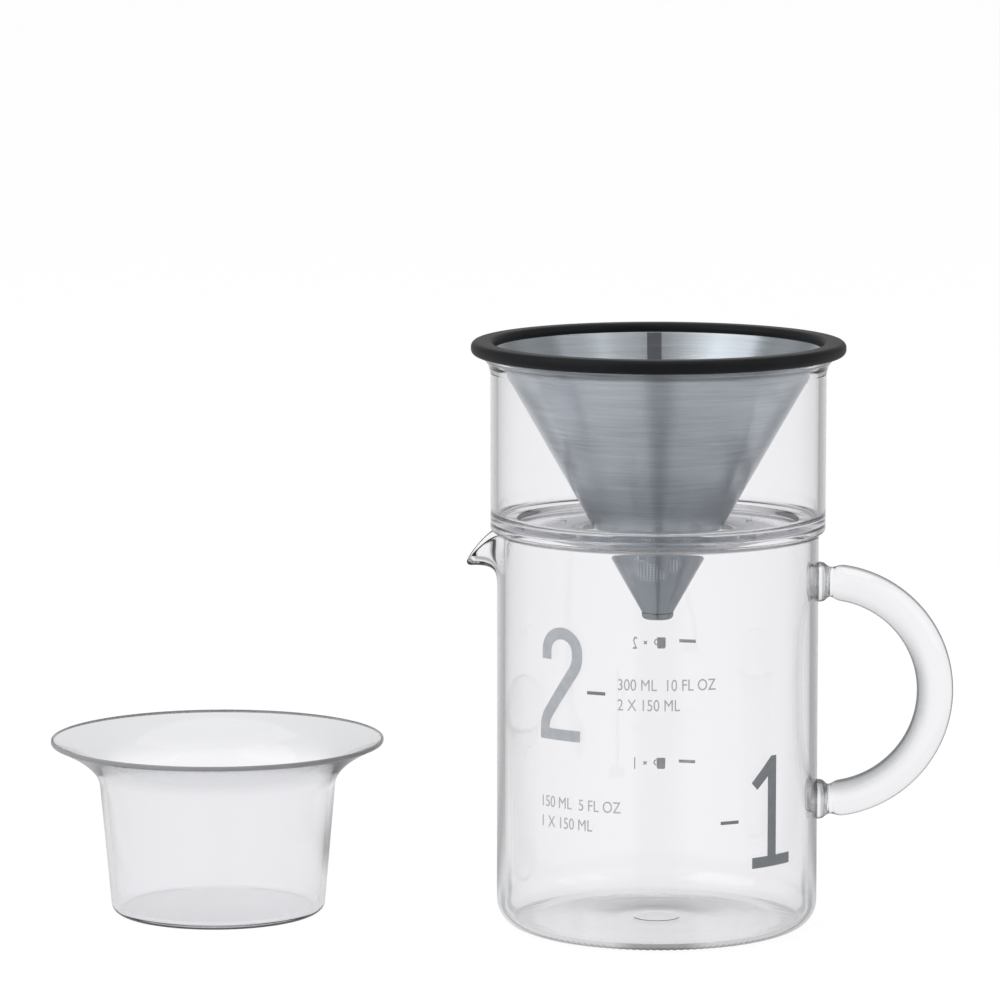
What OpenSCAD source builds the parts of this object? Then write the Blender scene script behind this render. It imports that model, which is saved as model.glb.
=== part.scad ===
// Pour-over coffee set: a glass jug with a handle, a clear brewer that stands on its rim,
// a steel cone filter with a black ring, and a clear stand that the filter is put in afterwards.
// Millimetres, +Z up, origin on the jug's axis at its foot. The spout points along -X, the handle along +X.

/* [Jug] */
// Outer radius of the glass wall
jug_r = 41.4; // [39:0.1:44]
// Height of the jug from its foot to its rim
jug_h = 102.8; // [96:0.1:120]
// Thickness of the glass wall
jug_wall = 2; // [1.6:0.1:2.4]
// Thickness of the glass floor
jug_floor = 2.6; // [2.2:0.1:5]
// Radius of the rounded edge at the foot
foot_round = 6.6; // [5:0.1:9]
// Radius of the shallow hollow under the floor
punt_r = 26; // [15:0.5:28]
// Depth of the shallow hollow under the floor
punt_depth = 0.8; // [0.4:0.1:1.2]
// Radius of the level middle of that hollow
punt_flat = 10; // [5:0.5:14]

/* [Spout] */
// Half of the rim that is drawn out into the spout, in degrees
spout_half = 16; // [12:1:22]
// How far the tip stands out from the wall
spout_out = 7.8; // [5:0.1:9]
// How far the tip lies below the rim
spout_drop = 7.2; // [4:0.1:8]
// Height of the wall that is drawn out, down from the rim
spout_depth = 14.4; // [12:0.2:17]

/* [Handle] */
// Thickness of the glass rod
rod_d = 9.4; // [8:0.1:11]
// Radius of the rod's centre line
handle_r = 28.4; // [26:0.1:31]
// Distance from the rim down to the middle of the handle
handle_drop = 41.9; // [39:0.1:44]
// Straight length of rod between the wall and the bend
handle_stub = 1.9; // [1.5:0.1:5]
// Thickness of the bead of glass where the rod is welded on
weld_d = 2.8; // [2:0.1:3.4]

/* [Brewer] */
// How far the brewer stands out past the jug wall
flange_over = 1.7; // [1:0.1:2.5]
// Height from the jug's rim to where the brewer's floor meets its wall
flange_h = 4.2; // [3.6:0.1:6]
// Thickness of the brewer wall
brewer_wall = 1.9; // [1.5:0.1:2.2]
// How far the dished floor falls from the wall to its hole
floor_dish = 4.1; // [2:0.1:4.3]
// Height of the wall above the floor
brewer_h = 41.2; // [36:0.1:46]
// Height of the flared lip
lip_h = 4.6; // [3:0.1:6]
// How far the lip flares out
lip_out = 1.8; // [1:0.1:2.4]
// Depth to which the floor drops into the jug's mouth
collar_h = 1.6; // [1.2:0.1:5]
// Width of the raised edge around the hole in the floor
edge_w = 1.3; // [1:0.1:2]
// Height of the raised edge above the floor
edge_h = 0.6; // [0.4:0.1:1.2]
// Number of small air holes in the floor
vents = 3; // [2:1:6]
// Width of an air hole
vent_d = 1.6; // [1.2:0.1:2.4]
// Distance of the air holes from the axis
vent_at = 27.9; // [25.5:0.1:30]

/* [Filter] */
// Half angle of the cone, in degrees
cone_half = 29.5; // [29:0.1:31]
// Thickness of the steel sheet
cone_wall = 0.4; // [0.3:0.05:0.6]
// Outer radius of the cone at its open tip
tip_r = 4.1; // [3.5:0.1:5]
// Width of the flat rim of the cone, held inside the ring
cone_rim = 3.2; // [2:0.1:3.6]
// Width of the lapped seam inside the cone
seam_w = 3.8; // [2:0.1:5]
// Thickness of the lapped seam
seam_t = 0.2; // [0.15:0.05:0.3]
// Height of the cap below the end of the cone
cap_h = 1.8; // [1.4:0.1:3]
// Depth of the cap inside the end of the cone
cap_plug = 1.6; // [1:0.1:3]

/* [Ring] */
// Width of the ring's section
ring_w = 5.8; // [5.2:0.1:7]
// Height of the ring's section
ring_h = 3.5; // [3.2:0.1:5]
// Radius of the ring's edges
ring_round = 1.5; // [1:0.1:1.6]

/* [Stand] */
// Outer radius of the stand's rim
stand_r = 43.4; // [42:0.1:48]
// Height of the stand
stand_h = 45.8; // [43:0.1:52]
// Radius of the body where the flare begins
stand_neck = 30.7; // [29:0.1:33]
// Radius of the body just above its foot
stand_foot = 28; // [25:0.1:28.6]
// Radius of the rounded edge at the foot
stand_round = 2.6; // [1.5:0.1:4]
// Height of the flared part
stand_flare = 12.3; // [9:0.1:14]
// Height over which the wall would go on straight before it bows outwards into the flare
stand_bow = 5.8; // [4:0.1:8]
// Thickness of the stand's wall
stand_wall = 1.8; // [1.4:0.1:2.2]
// Thickness of the stand's floor
stand_floor = 2; // [1.5:0.1:3]
// Height of the upright edge of the rim
stand_edge = 1.2; // [1:0.1:1.6]
// Where the stand's axis is, along X
stand_x = -114.4; // [-130:0.1:-108]
// Where the stand's axis is, along Y
stand_y = 15.6; // [-20:0.1:20]

/* [Fits] */
// Gap between the brewer's floor and the inside of the jug's mouth
collar_gap = 0.35; // [0.3:0.05:0.6]
// Gap between the cone and the edge of the hole in the floor
hole_gap = 2.8; // [1:0.1:4]
// Gap between the cone and the inside of the brewer's lip
lip_gap = 1.2; // [1:0.1:1.6]

/* [Hidden] */
$fn = 128;
eps = 0.01;
handle_z = jug_h - handle_drop;
handle_x = jug_r + handle_stub;
brewer_r = jug_r + flange_over;
brewer_in = brewer_r - brewer_wall;
collar_r = jug_r - jug_wall - collar_gap;
floor_z = jug_h + flange_h;
dish_z = floor_z - floor_dish;
under_z = jug_h - collar_h;
seat_z = floor_z + brewer_h;
lip_r = brewer_r + lip_out;
lip_in = brewer_in + lip_out;
cone_seat_r = lip_in - lip_gap;
cone_slope = tan(cone_half);
cone_across = cone_wall / cos(cone_half);
cone_flange_z = seat_z + ring_h / 4;
cone_flange_r = cone_seat_r + cone_slope * ring_h / 4;
tip_z = seat_z - (cone_seat_r - tip_r) / cone_slope;
hole_r = cone_seat_r - cone_slope * (seat_z - dish_z - edge_h) + hole_gap;
ring_in = cone_flange_r;
stand_neck_z = stand_h - stand_flare;
stand_lean = atan((stand_neck - stand_foot) / (stand_neck_z - stand_round));
lip_mid_out = lip_out * 0.3;
lip_mid_z = seat_z - lip_h * 0.55;
lip_top_z = seat_z - lip_h * 0.2;
weld_x = jug_r + weld_d * 0.36;
weld_r = rod_d / 2 - weld_d * 0.2;
seam_low = 4;
seam_high = 2;
cap_bend = cap_h * 0.6;
spout_u = 36;
spout_v = 12;
spout_cap = 6;
spout_over = 2;
spout_inset = 0.03;
spout_bow = 2.5;
spout_dip = 2;
spout_wide = 1.6;
spout_sharp = 3;
flare_steps = 12;
cut_over = 1;

// Section of the jug: outside, less the inside, with a round rim
module jug_section() {
  mid_h = jug_h - jug_wall / 2;
  in_round = foot_round - jug_wall;
  in_r = jug_r - jug_wall;
  difference() {
    union() {
      translate([0, foot_round]) square([jug_r, mid_h - foot_round]);
      square([jug_r - foot_round, foot_round + eps]);
      translate([jug_r - foot_round, foot_round]) circle(foot_round);
    }
    translate([-cut_over, jug_floor + in_round]) square([in_r + cut_over, jug_h]);
    translate([-cut_over, jug_floor]) square([in_r - in_round + cut_over, in_round + eps]);
    translate([in_r - in_round, jug_floor + in_round]) circle(in_round);
    polygon([
      [-cut_over, -cut_over],
      [punt_r, -cut_over],
      [punt_r, 0],
      [punt_flat, punt_depth],
      [-cut_over, punt_depth]]);
    translate([-jug_r, 0]) square([jug_r, jug_h]);
  }
  translate([jug_r - jug_wall / 2, mid_h]) circle(jug_wall / 2);
}

// How much of the full draw the rim has at angle a from the middle of the spout
function draw(a) = abs(a) >= spout_half ? 0 : pow(cos(90 * a / spout_half), spout_sharp);

// Middle of the drawn wall at angle a, v from the lower end to the rim: distance from the axis and height
function wall_mid(a, v) =
  let (low = jug_h - spout_depth, rise = spout_depth - jug_wall / 2, d = draw(a))
  [jug_r - jug_wall / 2 + d * spout_out * pow(v, spout_bow),
    low + rise * v - pow(d, spout_wide) * spout_drop * pow(v, spout_dip)];

// Direction of the drawn wall
function wall_way(a, v) =
  let (e = 0.02, p = wall_mid(a, max(0, v - e)), q = wall_mid(a, min(1, v + e)), l = norm(q - p))
  (q - p) / l;

// A point of the drawn wall: b turns from the outside, 0, over the rim to the inside, 180
function wall_point(a, v, b) =
  let (t = jug_wall / 2 - spout_inset, w = wall_way(a, v))
  wall_mid(a, v) + t * (cos(b) * [w[1], -w[0]] + sin(b) * w);

// One closed loop of the drawn wall at angle a: up the outside, round the rim, down the inside
function wall_loop(a) =
  concat(
    [for (i = [0:spout_v]) wall_point(a, i / spout_v, 0)],
    [for (i = [1:spout_cap - 1]) wall_point(a, 1, 180 * i / spout_cap)],
    [for (i = [spout_v:-1:0]) wall_point(a, i / spout_v, 180)]);

// The part of the wall that is drawn out into the spout
module spout() {
  half = spout_half + spout_over;
  loops = [for (i = [0:spout_u]) let (a = -half + 2 * half * i / spout_u)
    [for (p = wall_loop(a)) [-p[0] * cos(a), p[0] * sin(a), p[1]]]];
  n = len(loops[0]);
  pts = [for (l = loops) for (p = l) p];
  sides = [for (i = [0:spout_u - 1]) for (j = [0:n - 1]) let (k = (j + 1) % n)
    each [[i * n + j, (i + 1) * n + k, i * n + k], [i * n + j, (i + 1) * n + j, (i + 1) * n + k]]];
  first = [for (j = [0:(n - 3) / 2]) let (a = j, b = j + 1, c = n - 2 - j, d = n - 1 - j)
    each (b < c ? [[a, c, d], [a, b, c]] : [[a, b, d]])];
  last = [for (f = first) [for (k = [2, 1, 0]) f[k] + spout_u * n]];
  polyhedron(points = pts, faces = concat(sides, first, last), convexity = 6);
}

// Space that is cleared in the wall for the spout
module spout_room() {
  far = 2 * jug_r;
  translate([0, 0, jug_h - spout_depth + cut_over])
    linear_extrude(height = spout_depth)
      polygon([[0, 0], [-far * cos(spout_half), -far * sin(spout_half)], [-far, 0],
        [-far * cos(spout_half), far * sin(spout_half)]]);
}

// Blown glass jug with its drawn spout
module jug_body() {
  color([0.86, 0.9, 0.92, 0.4]) {
    difference() {
      rotate_extrude() jug_section();
      spout_room();
    }
    spout();
  }
}

// Bent glass rod with a bead where each end is welded to the wall
module jug_handle() {
  color([0.84, 0.89, 0.91, 0.5])
    difference() {
      union() {
        translate([handle_x, 0, handle_z])
          rotate([90, 0, 0])
            rotate([0, 0, -90])
              rotate_extrude(angle = 180) translate([handle_r, 0]) circle(rod_d / 2);
        for (s = [-1, 1]) {
          translate([jug_r - rod_d / 2, 0, handle_z + s * handle_r])
            rotate([0, 90, 0]) cylinder(r = rod_d / 2, h = handle_stub + rod_d / 2 + eps);
          translate([weld_x, 0, handle_z + s * handle_r])
            rotate([0, 90, 0])
              rotate_extrude() translate([weld_r, 0]) circle(weld_d / 2);
        }
      }
      cylinder(r = jug_r, h = jug_h);
    }
}

// Section of the brewer: wall with a flared lip, flange, dished floor with a raised edge at its hole
module brewer_section() {
  polygon([
    [hole_r, under_z],
    [collar_r, under_z],
    [collar_r, jug_h],
    [brewer_r - flange_over, jug_h],
    [brewer_r, jug_h + flange_over],
    [brewer_r, seat_z - lip_h],
    [brewer_r + lip_mid_out, lip_mid_z],
    [lip_r, lip_top_z],
    [lip_r, seat_z],
    [lip_in, seat_z],
    [lip_in, lip_top_z],
    [brewer_in + lip_mid_out, lip_mid_z],
    [brewer_in, seat_z - lip_h],
    [brewer_in, floor_z],
    [hole_r + edge_w, dish_z],
    [hole_r + edge_w, dish_z + edge_h],
    [hole_r, dish_z + edge_h]]);
  translate([brewer_r - flange_over, jug_h + flange_over]) circle(flange_over);
}

// Clear brewer with air holes in its floor
module brewer_body() {
  color([0.9, 0.92, 0.92, 0.4])
    difference() {
      rotate_extrude() brewer_section();
      for (i = [0:vents - 1])
        rotate([0, 0, 360 * i / vents - 90])
          translate([vent_at, 0, under_z - cut_over])
            cylinder(r = vent_d / 2, h = floor_z - under_z + 2 * cut_over);
    }
}

// Steel cone with a flat rim at the top and a lapped seam up the back
module filter_cone() {
  top = cone_flange_z + cone_wall;
  rise = cone_slope * (top - tip_z);
  color([0.62, 0.64, 0.66]) {
    rotate_extrude()
      polygon([
        [tip_r - cone_across, tip_z],
        [tip_r, tip_z],
        [cone_flange_r, cone_flange_z],
        [cone_flange_r + cone_rim, cone_flange_z],
        [cone_flange_r + cone_rim, top],
        [tip_r + rise - cone_across, top]]);
    intersection() {
      rotate_extrude()
        polygon([
          [tip_r - cone_across - seam_t + cone_slope * seam_low, tip_z + seam_low],
          [tip_r - cone_across / 2 + cone_slope * seam_low, tip_z + seam_low],
          [tip_r + rise - cone_across / 2 - cone_slope * seam_high, top - seam_high],
          [tip_r + rise - cone_across - seam_t - cone_slope * seam_high, top - seam_high]]);
      translate([-seam_w / 2, 0, tip_z]) cube([seam_w, 2 * jug_r, seat_z]);
    }
  }
}

// Steel cap that closes the tip of the cone
module filter_cap() {
  in_r = tip_r - cone_across;
  color([0.5, 0.52, 0.54])
    rotate_extrude()
      union() {
        polygon([
          [0, tip_z - cap_h],
          [tip_r - cap_bend, tip_z - cap_h],
          [tip_r, tip_z - cap_h + cap_bend],
          [tip_r, tip_z],
          [in_r, tip_z],
          [in_r + cone_slope * cap_plug, tip_z + cap_plug],
          [0, tip_z + cap_plug]]);
        intersection() {
          translate([tip_r - cap_bend, tip_z - cap_h + cap_bend]) circle(cap_bend);
          translate([0, tip_z - cap_h]) square([2 * tip_r, cap_h]);
        }
      }
}

// Black ring moulded around the rim of the cone
module filter_ring() {
  flat = ring_w - 2 * ring_round;
  color([0.06, 0.06, 0.065])
    rotate_extrude()
      difference() {
        translate([ring_in, seat_z]) {
          translate([ring_round, 0]) square([flat, ring_h]);
          translate([0, ring_round]) square([ring_w, ring_h - 2 * ring_round]);
          for (x = [ring_round, ring_w - ring_round])
            for (z = [ring_round, ring_h - ring_round])
              translate([x, z]) circle(ring_round);
        }
        translate([ring_in - cut_over, cone_flange_z]) square([cone_rim + cut_over, cone_wall]);
      }
}

// Curve of the flare from its start, a, to the rim, c, with b where the two end tangents meet
function flare(a, b, c) =
  [for (i = [0:flare_steps]) let (t = i / flare_steps) pow(1 - t, 2) * a + 2 * t * (1 - t) * b + t * t * c];

// Clear stand that the filter is put in after brewing
module stand_body() {
  foot_x = stand_foot - stand_round / cos(stand_lean) + stand_round * tan(stand_lean);
  touch_r = foot_x + stand_round * cos(stand_lean);
  touch_z = stand_round - stand_round * sin(stand_lean);
  in_foot = stand_foot - stand_wall - stand_floor * 0.6;
  in_neck = stand_neck - stand_wall;
  in_rim = stand_r - stand_edge * 0.6;
  bow = stand_bow * [tan(stand_lean), 1];
  rise = [0, stand_edge * 0.5];
  outside = [stand_neck, stand_neck_z];
  inside = [in_neck, stand_neck_z] + rise;
  color([0.9, 0.92, 0.92, 0.4])
    translate([stand_x, stand_y, 0])
      rotate_extrude() {
        polygon(concat(
          [[0, 0], [foot_x, 0], [touch_r, touch_z]],
          flare(outside, outside + bow, [stand_r, stand_h - stand_edge]),
          [[stand_r, stand_h]],
          flare([in_rim, stand_h], inside + bow + rise, inside),
          [[stand_foot - stand_wall, stand_floor + stand_round], [in_foot, stand_floor], [0, stand_floor]]));
        translate([foot_x, stand_round]) circle(stand_round);
      }
}

jug_body();
jug_handle();
brewer_body();
filter_cone();
filter_cap();
filter_ring();
stand_body();
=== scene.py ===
import math

import bmesh
import bpy
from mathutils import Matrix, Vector


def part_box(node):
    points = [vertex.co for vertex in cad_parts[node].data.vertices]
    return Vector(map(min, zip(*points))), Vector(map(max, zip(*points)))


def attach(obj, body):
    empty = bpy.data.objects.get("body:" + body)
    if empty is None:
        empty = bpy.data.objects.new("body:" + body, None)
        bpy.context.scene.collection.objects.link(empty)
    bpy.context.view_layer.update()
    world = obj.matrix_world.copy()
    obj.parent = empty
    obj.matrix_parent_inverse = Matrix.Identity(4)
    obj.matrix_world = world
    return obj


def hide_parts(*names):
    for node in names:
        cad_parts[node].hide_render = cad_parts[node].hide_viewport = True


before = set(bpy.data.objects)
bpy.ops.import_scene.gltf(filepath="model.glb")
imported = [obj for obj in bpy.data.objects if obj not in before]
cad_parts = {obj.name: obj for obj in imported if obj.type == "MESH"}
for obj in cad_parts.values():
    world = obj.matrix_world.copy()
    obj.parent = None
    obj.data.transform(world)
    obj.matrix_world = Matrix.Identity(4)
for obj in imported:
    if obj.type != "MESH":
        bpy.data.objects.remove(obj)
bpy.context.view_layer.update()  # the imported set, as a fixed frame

mm = 0.001
touch = 0.001 * mm  # what is closer than this is at the same place
print("frame loaded:", sorted(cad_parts))


# one output of a shader node, so that sums on it are written as plain expressions
class Flow:
    def __init__(self, tree, socket=None):
        self.tree = tree
        self.socket = socket

    # any node: its type, its settings, then the values or links of its sockets
    def node(self, kind, settings=None, sockets=None, out=0):
        made = self.tree.nodes.new(kind)
        for key, value in (settings or {}).items():
            if key == "stops":
                ramp = made.color_ramp.elements
                ramp[0].position, ramp[1].position = value[0][0], value[-1][0]
                for place, shade in value[1:-1]:
                    ramp.new(place)
                for stop, (place, shade) in zip(ramp, value):
                    stop.color = (shade, shade, shade, 1)
            else:
                setattr(made, key, value)
        for key, value in (sockets or {}).items():
            if isinstance(value, Flow):
                self.tree.links.new(value.socket, made.inputs[key])
            else:
                made.inputs[key].default_value = value
        return Flow(self.tree, made.outputs[out] if len(made.outputs) else None)

    # another output of the same node
    def other(self, out):
        return Flow(self.tree, self.socket.node.outputs[out])

    def math(self, operation, *values):
        return self.node("ShaderNodeMath", {"operation": operation}, dict(enumerate(values)))

    def __add__(self, other):
        return self.math("ADD", self, other)

    def __sub__(self, other):
        return self.math("SUBTRACT", self, other)

    def __mul__(self, other):
        return self.math("MULTIPLY", self, other)

    def __truediv__(self, other):
        return self.math("DIVIDE", self, other)

    def __radd__(self, other):
        return self.math("ADD", other, self)

    def __rsub__(self, other):
        return self.math("SUBTRACT", other, self)

    # 0 below low, 1 above high, smooth between
    def ease(self, low, high):
        return self.node("ShaderNodeMapRange", {"interpolation_type": "SMOOTHSTEP"},
                         {"Value": self, "From Min": low, "From Max": high})

    def noise(self, coords, scale, detail):
        return self.node("ShaderNodeTexNoise", {}, {"Vector": coords, "Scale": scale, "Detail": detail})

    # coordinates stretched by a different amount along each axis
    def stretch(self, coords, scale):
        return self.node("ShaderNodeMapping", {}, {"Vector": coords, "Scale": scale})

    # a mix of two colours, each a plain one or what another node gives
    def shade(self, factor, dark, light):
        dark, light = [end if isinstance(end, Flow) else (*end, 1) for end in (dark, light)]
        return self.node("ShaderNodeMix", {"data_type": "RGBA"}, {"Factor": factor, "A": dark, "B": light}, "Result")

    def bump(self, height, strength, distance):
        return self.node("ShaderNodeBump", {}, {"Height": height, "Strength": strength, "Distance": distance})


def newFinish(name):
    finish = bpy.data.materials.new(name)
    finish.use_nodes = True
    finish.node_tree.nodes.clear()
    return finish, Flow(finish.node_tree)


# distance from an axis or a plane: the axes that count, then its place with the sign turned
def farFrom(flow, coords, keep, place=(0, 0, 0)):
    flat = flow.node("ShaderNodeVectorMath", {"operation": "MULTIPLY_ADD"}, {0: coords, 1: keep, 2: place})
    return flow.node("ShaderNodeVectorMath", {"operation": "LENGTH"}, {0: flat}, "Value")


# painted shade: a bent rod is tinted darker along the inner side of its bend, less so at the top; it is also darker
# where it is welded on
def rodShade(flow, coords, look):
    across = flow.node("ShaderNodeSeparateXYZ", {}, {"Vector": coords})
    far = farFrom(flow, coords, (1, 0, 1), look["bendMiddle"])
    inner = 1 - far.ease(look["innerNear"] * mm, look["innerFar"] * mm)
    top = across.other("Z").ease(look["fadeLow"] * mm, look["fadeHigh"] * mm)
    weld = across.ease(look["weldIn"] * mm, (look["weldIn"] + look["weldRise"]) * mm) \
        - across.ease((look["weldOut"] - look["weldFall"]) * mm, look["weldOut"] * mm)
    return inner * (1 - top * look["fade"]) * look["innerDark"] + weld * look["weldDark"]


# blown glass and clear plastic: real refraction, an absorbing body, silhouettes tinted a little darker as painted
# shade, and grey bands of painted shade along some rims and edges
def clearFinish(name, look):
    finish, flow = newFinish(name)
    coords = flow.node("ShaderNodeTexCoord", out="Object")
    facing = flow.node("ShaderNodeLayerWeight", out="Facing")
    # painted shade: the glass is tinted darker the more edge-on it is seen
    edge = facing.ease(look["edgeFrom"], look["edgeTo"]) * look["edgeDark"] + facing * look["sideDark"]
    if "highDark" in look:  # painted shade: a flared rim tinted darker over the flare
        up = flow.node("ShaderNodeSeparateXYZ", {}, {"Vector": coords}).other("Z")
        edge = edge + up.ease(look["highFrom"] * mm, look["highTo"] * mm) * look["highDark"]
    if "bendMiddle" in look:
        edge = edge + rodShade(flow, coords, look)
    if look["footDark"] > 0:  # painted shade: a dark line along the outline where the inner corner of the foot lies
        low = farFrom(flow, coords, (0, 0, 1)).ease(look["footHigh"] * mm, look["footLow"] * mm)
        outer = farFrom(flow, coords, (1, 1, 0)).ease(look["footIn"] * mm, look["footOut"] * mm)
        line = facing.ease(*look["lineIn"]) - facing.ease(*look["lineOut"])
        edge = edge + low * outer * line * look["footDark"]
    haze = flow.noise(coords, look["hazeScale"], look["hazeDetail"])
    waves = flow.noise(flow.stretch(coords, look["waveStretch"]), look["waveScale"], look["waveDetail"])
    tint = flow.shade(edge, look["tint"], look["edgeTint"])
    surface = flow.node("ShaderNodeBsdfPrincipled", {}, {
        "Base Color": tint,
        "Roughness": haze * look["roughness"],
        "IOR": look["ior"],
        "Transmission Weight": 1.0,
        "Normal": flow.bump(waves, look["waveStrength"], look["waveDepth"] * mm)})
    if look["calmCover"] > 0:  # a floor seen almost edge on: some of what lies behind it shows straight
        radius, high, soft = look["calmRadius"] * mm, look["calmHigh"] * mm, look["calmSoft"] * mm
        inside = farFrom(flow, coords, (1, 1, 0)).ease(radius, radius - soft)
        under = farFrom(flow, coords, (0, 0, 1)).ease(high + soft, high)
        calm = flow.node("ShaderNodeBsdfTransparent", {}, {"Color": (*look["calmTint"], 1)})
        surface = flow.node("ShaderNodeMixShader", {}, {0: inside * under * look["calmCover"], 1: surface, 2: calm})
    # painted shade: an opaque grey band mixed in along a rim or edge
    paintedEdge = flow.node("ShaderNodeBsdfPrincipled", {}, {
        "Base Color": (*look["edgeShadeTint"], 1), "Roughness": look["edgeShadeRough"]})
    far = farFrom(flow, coords, *look["edgeShadeAxis"]) - look["edgeShadeMiddle"] * mm
    at = flow.math("ABSOLUTE", far).ease(look["edgeShadeFrom"] * mm, look["edgeShadeTo"] * mm)
    surface = flow.node("ShaderNodeMixShader", {}, {0: at * look["edgeShadeCover"], 1: surface, 2: paintedEdge})
    body = flow.node("ShaderNodeVolumeAbsorption", {}, {
        "Color": (*look["bodyTint"], 1), "Density": look["density"]})
    flow.node("ShaderNodeOutputMaterial", {}, {"Surface": surface, "Volume": body})
    return finish


jugGlassLook = {
    "tint": (0.965, 0.964, 0.973), "ior": 1.47, "bodyTint": (0.89, 0.89, 0.91), "density": 70.0,
    "edgeTint": (0.3, 0.315, 0.33), "edgeFrom": 0.86, "edgeTo": 1.0, "edgeDark": 0.2, "sideDark": 0.11,
    "hazeScale": 60.0, "hazeDetail": 3.0, "roughness": 0.004,
    "waveStretch": (1, 1, 0.35), "waveScale": 34.0, "waveDetail": 1.0, "waveStrength": 0.006, "waveDepth": 0.3,
    "calmRadius": 40.6, "calmHigh": 0.02, "calmSoft": 0.2, "calmTint": (0.97, 0.97, 0.975), "calmCover": 0.2,
    "footHigh": 16.0, "footLow": 7.0, "footIn": 36.0, "footOut": 38.0, "footDark": 1.0,
    "lineIn": (0.67, 0.73), "lineOut": (0.75, 0.83),
    "edgeShadeTint": (0.6, 0.6, 0.62), "edgeShadeRough": 0.35, "edgeShadeAxis": ((0, 0, 1), (0, 0, 0)), "edgeShadeMiddle": 0.0,
    "edgeShadeFrom": 101.9, "edgeShadeTo": 102.4, "edgeShadeCover": 0.8}
bendPlace = (-0.0433, 0, -0.0609)  # middle of the handle's bend with the sign turned, in metres
handleGlassLook = dict(
    jugGlassLook, edgeTint=(0.16, 0.17, 0.175), edgeFrom=0.5, edgeTo=0.85, edgeDark=0.7, sideDark=0.0, density=60.0,
    waveStretch=(1, 1, 1), waveScale=60.0, calmCover=0.0, footDark=0.0,
    bendMiddle=bendPlace, innerNear=23.7, innerFar=27.8, innerDark=0.95, fadeLow=64.0, fadeHigh=84.0, fade=0.65,
    weldIn=41.9, weldRise=0.4, weldOut=44.0, weldFall=0.8, weldDark=0.7,
    edgeShadeTint=(0.12, 0.125, 0.13), edgeShadeAxis=((1, 0, 1), bendPlace), edgeShadeMiddle=28.4,
    edgeShadeFrom=4.0, edgeShadeTo=4.7, edgeShadeCover=0.65)
brewerClearLook = dict(
    jugGlassLook, tint=(0.955, 0.954, 0.964), ior=1.3, density=60.0, edgeDark=0.15, sideDark=0.05,
    hazeScale=140.0, roughness=0.02, waveStretch=(1, 1, 1), waveScale=90.0, waveStrength=0.008, waveDepth=0.2,
    calmRadius=36.5, calmHigh=107.0, calmSoft=0.5, calmCover=0.8, footDark=0.0,
    edgeShadeTint=(0.55, 0.56, 0.58), edgeShadeFrom=103.6, edgeShadeTo=102.9, edgeShadeCover=0.6)


# etched steel: a square grid of fine holes laid out on the flat sheet, which is then rolled into the cone,
# brushed round between them, with a plain band at the top and the tip; painted light shows through some holes of the
# tip
def steelFinish(name, look):
    finish, flow = newFinish(name)
    half = math.radians(look["half"])
    coords = flow.node("ShaderNodeTexCoord", out="Object")
    across = flow.node("ShaderNodeSeparateXYZ", {}, {"Vector": coords})
    along, up = across.other("Y"), across.other("Z")
    turn = flow.math("ARCTAN2", across, 0 - along) * math.sin(half)
    slant = (up - look["apex"] * mm) / (math.cos(half) * look["pitch"] * mm)
    # both run from 0 between two holes to 1 in the middle of one
    rows = flow.math("PINGPONG", slant * flow.math("COSINE", turn), 0.5) * 2
    columns = flow.math("PINGPONG", slant * flow.math("SINE", turn), 0.5) * 2
    etched = up.ease(look["bandLow"] * mm, (look["bandLow"] + look["bandLowSoft"]) * mm) \
        - up.ease(look["bandHigh"] * mm, (look["bandHigh"] + look["bandHighSoft"]) * mm)
    hole = rows.ease(*look["holeEdge"]) * columns.ease(*look["holeEdge"]) * etched
    face = flow.node("ShaderNodeNewGeometry", {}, {}, "Normal")
    inside = flow.node("ShaderNodeSeparateXYZ", {}, {"Vector": face}).other("Z").ease(*look["insideEdge"])
    outside = 1 - inside
    brush = flow.noise(flow.stretch(coords, look["brushStretch"]), look["brushScale"], look["brushDetail"])
    streak = flow.noise(flow.stretch(coords, look["streakStretch"]), look["streakScale"], look["streakDetail"])
    cloud = flow.noise(coords, look["cloudScale"], look["cloudDetail"])
    tone = brush * look["brushShare"] + streak * look["streakShare"] + cloud * look["cloudShare"]
    light = tone.ease(*look["toneEdge"]) * (1 - look["toneLeast"]) + look["toneLeast"]
    # painted shade: the tip below the brewer's floor and its holes are tinted darker, and so is the cone's inside
    low = 1 - up.ease(look["tipShadeLow"] * mm, look["tipShadeHigh"] * mm)
    light = light * (1 - low * look["tipShadeDark"]) * (1 - inside * look["insideDark"])
    plain = flow.shade(light, look["dark"], look["light"])
    shut = flow.shade(hole * (look["holeDark"] + low * look["holeTipShade"]) * outside, plain, look["holeTint"])
    # painted light: some holes of the tip, and the holes seen from inside, take the sky's pale colour
    speck = flow.noise(coords, look["speckScale"], look["speckDetail"]).ease(*look["speckEdge"]) * low * outside
    bright = hole * (inside * look["holeLight"] + speck * look["speckLight"])
    surface = flow.node("ShaderNodeBsdfPrincipled", {}, {
        "Base Color": flow.shade(bright, shut, look["skyTint"]),
        "Metallic": 1.0,
        "Roughness": look["roughness"] + brush * look["brushRough"],
        "Anisotropic": look["anisotropic"],
        "Anisotropic Rotation": look["anisotropicTurn"],
        "Normal": flow.bump(brush, look["brushStrength"], look["brushDepth"] * mm)})
    flow.node("ShaderNodeOutputMaterial", {}, {"Surface": surface})
    return finish


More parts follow.
